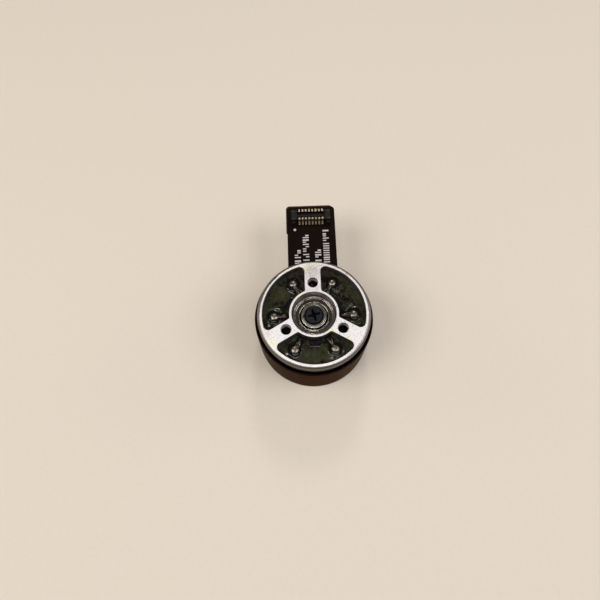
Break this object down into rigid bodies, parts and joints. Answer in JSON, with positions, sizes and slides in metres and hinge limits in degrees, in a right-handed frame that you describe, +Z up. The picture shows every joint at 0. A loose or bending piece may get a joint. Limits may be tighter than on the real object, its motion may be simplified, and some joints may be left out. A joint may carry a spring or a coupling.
{
  "type": "outrunner brushless motor",
  "caption": "Flat outrunner brushless motor with a spoked base, a turning rotor bell and a flex-circuit tail that ends in a board-to-board connector.",
  "frame": {"origin": "on the motor axis in the plane of the rotor bell's bottom face, which the motor rests on", "axes": "+Z up the shaft towards the fixed base's mounting face; +Y along the flex tail and one spoke"},
  "size_m": [0.0136, 0.0213, 0.0083],
  "materials": {
    "machined_aluminium": "bright machined aluminium, faintly brushed, with a satin rounded edge",
    "lamination_steel": "stacked electrical-steel laminations",
    "slot_insulation": "dark moulded insulation",
    "copper_winding": "enamelled copper wire",
    "solder": "shiny solder under a little flux",
    "circuit_board": "dark green solder mask under clear glossy sealant",
    "sensor_plastic": "moulded sensor body",
    "flex_coverlay": "black satin coverlay film",
    "flex_backing": "dark backing plate",
    "connector_plastic": "black moulded liquid-crystal polymer",
    "contact_gold": "pale gold-plated contacts",
    "fitting_metal": "tinned hold-downs",
    "bell_dark_steel": "dark satin-plated steel",
    "magnet_plating": "nickel-plated magnets",
    "ground_steel": "ground steel",
    "washer_steel": "spring steel",
    "black_screw": "black oxide steel",
    "bearing_steel": "turned bearing steel",
    "shield_steel": "thin pressed steel",
    "ball_steel": "polished balls",
    "cage_nylon": "natural nylon"
  },
  "bodies": {
    "stator": {"stator_base": "machined_aluminium", "stator_core": "lamination_steel", "upper_slot_insulator": "slot_insulation", "lower_slot_insulator": "slot_insulation", "phase_a_coils": "copper_winding", "phase_b_coils": "copper_winding", "phase_c_coils": "copper_winding", "coil_leads": "copper_winding", "solder_joints": "solder", "stator_pcb": "circuit_board", "hall_sensors": "sensor_plastic", "flex_tail": "flex_coverlay", "flex_stiffener": "flex_backing", "connector_housing": "connector_plastic", "connector_contacts": "contact_gold", "connector_fittings": "fitting_metal", "upper_bearing_outer_ring": "bearing_steel", "upper_bearing_shields": "shield_steel", "upper_bearing_snap_wires": "shield_steel", "lower_bearing_outer_ring": "bearing_steel", "lower_bearing_shields": "shield_steel", "lower_bearing_snap_wires": "shield_steel"},
    "rotor": {"rotor_bell": "bell_dark_steel", "rotor_magnets": "magnet_plating", "motor_shaft": "ground_steel", "bearing_spacer": "ground_steel", "split_lock_washer": "washer_steel", "centre_screw": "black_screw", "upper_bearing_inner_ring": "bearing_steel", "lower_bearing_inner_ring": "bearing_steel"},
    "upper_ball_set": {"upper_bearing_balls": "ball_steel", "upper_bearing_cage": "cage_nylon"},
    "lower_ball_set": {"lower_bearing_balls": "ball_steel", "lower_bearing_cage": "cage_nylon"}
  },
  "joints": [
    {"name": "rotor_spin", "type": "hinge", "parent": "stator", "child": "rotor", "pos_m": [0, 0, 0.004], "axis": [0, 0, 1], "continuous": true},
    {"name": "upper_ball_orbit", "type": "hinge", "parent": "stator", "child": "upper_ball_set", "pos_m": [0, 0, 0.00597], "axis": [0, 0, 1], "continuous": true},
    {"name": "lower_ball_orbit", "type": "hinge", "parent": "stator", "child": "lower_ball_set", "pos_m": [0, 0, 0.00241], "axis": [0, 0, 1], "continuous": true}
  ],
  "couplings": [
    {"joint": "upper_ball_orbit", "follows": "rotor_spin", "ratio": 0.39444},
    {"joint": "lower_ball_orbit", "follows": "rotor_spin", "ratio": 0.39444}
  ]
}
